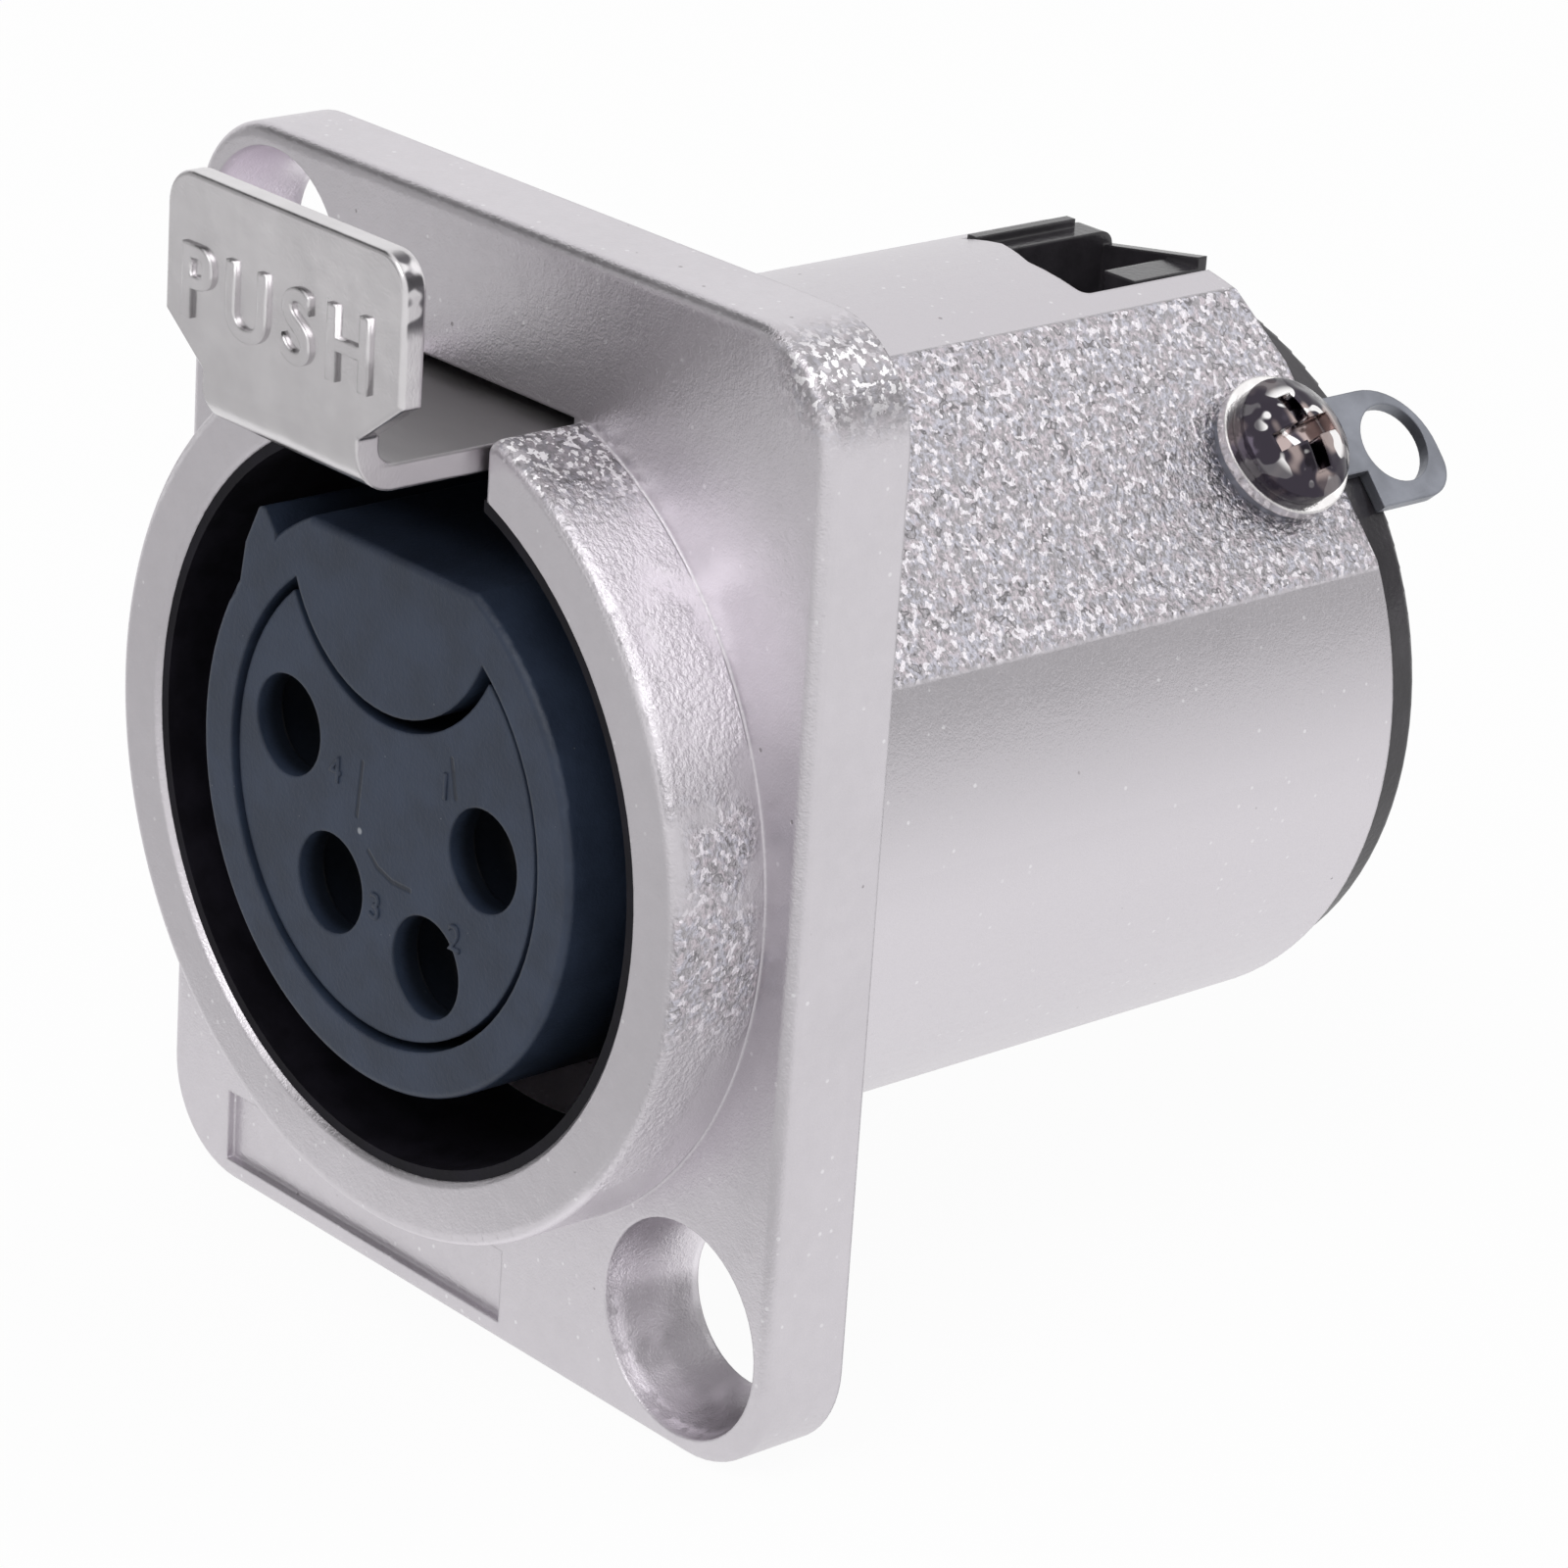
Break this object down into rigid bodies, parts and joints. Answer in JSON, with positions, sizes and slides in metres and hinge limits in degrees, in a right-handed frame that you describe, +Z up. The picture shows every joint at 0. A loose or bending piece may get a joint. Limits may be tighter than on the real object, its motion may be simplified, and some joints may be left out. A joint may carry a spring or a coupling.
{
  "type": "xlr panel socket",
  "caption": "Female XLR panel socket with a screw flange, a ringed mouth, a sprung push tab that lifts the latch, solder cups and a ground screw with a lug.",
  "frame": {"origin": "on the mating axis at the flange's rear face, the panel's plane, midway between the two screw holes", "axes": "+Y from the mouth to the solder cups, +Z up towards the push tab, +X to the right as the plug sees it"},
  "size_m": [0.026, 0.0345, 0.0322],
  "materials": {
    "nickel_casting": "pearl nickel on a die casting, fine satin grain",
    "plated_sheet": "bright nickel plated sheet, satin face",
    "polished_steel": "polished nickel",
    "spring_steel": "drawn spring wire",
    "tinned_lug": "dull tin plate",
    "contact_silver": "silver plated brass, slightly dull",
    "dark_moulding": "slate grey moulded polyester, satin",
    "black_moulding": "black moulded polyester, satin"
  },
  "bodies": {
    "socket": {"shell": "nickel_casting", "mouth_liner": "black_moulding", "insert_sleeve": "dark_moulding", "contact_insert": "dark_moulding", "rear_cover": "black_moulding", "latch_block": "black_moulding", "hook_pivot_pin": "polished_steel", "hook_spring": "spring_steel", "tab_spring_left": "spring_steel", "tab_spring_right": "spring_steel", "ground_screw": "polished_steel", "ground_washer": "polished_steel", "ground_lug": "tinned_lug", "contact_1": "contact_silver", "contact_2": "contact_silver", "contact_3": "contact_silver", "contact_4": "contact_silver"},
    "push_tab": {"push_tab": "plated_sheet"},
    "latch_hook": {"latch_hook": "plated_sheet"}
  },
  "joints": [
    {"name": "tab_push", "type": "slide", "parent": "socket", "child": "push_tab", "axis": [0, 1, 0], "range_m": [0, 0.002], "stiffness_N_per_m": 300, "springref_m": -0.003, "deforming": ["tab_spring_left", "tab_spring_right"]},
    {"name": "hook_lift", "type": "hinge", "parent": "socket", "child": "latch_hook", "pos_m": [0, 0.0134, 0.01], "axis": [-1, 0, 0], "range_deg": [0, 3.16], "stiffness_Nm_per_rad": 0.01, "springref_deg": -17.19, "deforming": ["hook_spring"]}
  ],
  "couplings": [
    {"joint": "hook_lift", "follows": "tab_push", "rad_per_m": 27.53}
  ]
}
